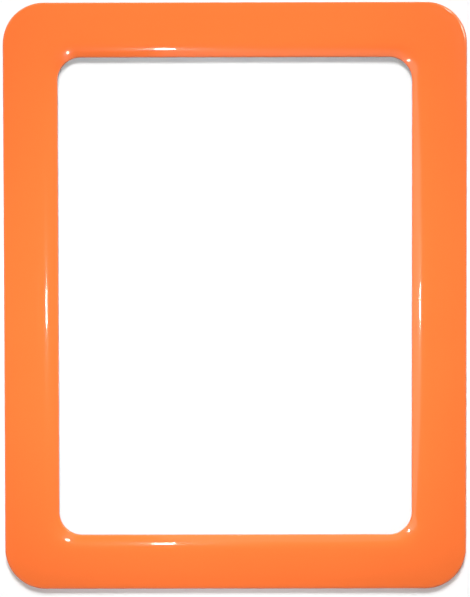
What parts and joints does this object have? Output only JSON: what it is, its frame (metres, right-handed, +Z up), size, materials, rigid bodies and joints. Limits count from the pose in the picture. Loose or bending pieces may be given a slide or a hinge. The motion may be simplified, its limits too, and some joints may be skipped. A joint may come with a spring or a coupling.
{
  "type": "magnetic document pocket",
  "caption": "Upright magnetic pocket for one document: crowned glossy frame with a rounded window, clear film and back sheet open at the top, and magnet strips behind the sides.",
  "frame": {"origin": "centre of the flat back, in the plane of the steel surface", "axes": "+Y out of the back into the steel, the front faces -Y; +Z up towards the open end of the pocket; +X to the right as seen from the front"},
  "size_m": [0.25, 0.0056, 0.317],
  "materials": {
    "frame_plastic": "glossy moulded orange",
    "clear_film": "thin clear plastic film",
    "clear_sheet": "clear plastic sheet",
    "spacer_tape": "white foam tape",
    "magnet_rubber": "dark flexible magnet strip"
  },
  "bodies": {
    "root": {"front_frame": "frame_plastic", "window_film": "clear_film", "back_sheet": "clear_sheet", "spacer_left": "spacer_tape", "spacer_right": "spacer_tape", "spacer_bottom": "spacer_tape", "magnet_left": "magnet_rubber", "magnet_right": "magnet_rubber"}
  },
  "joints": []
}
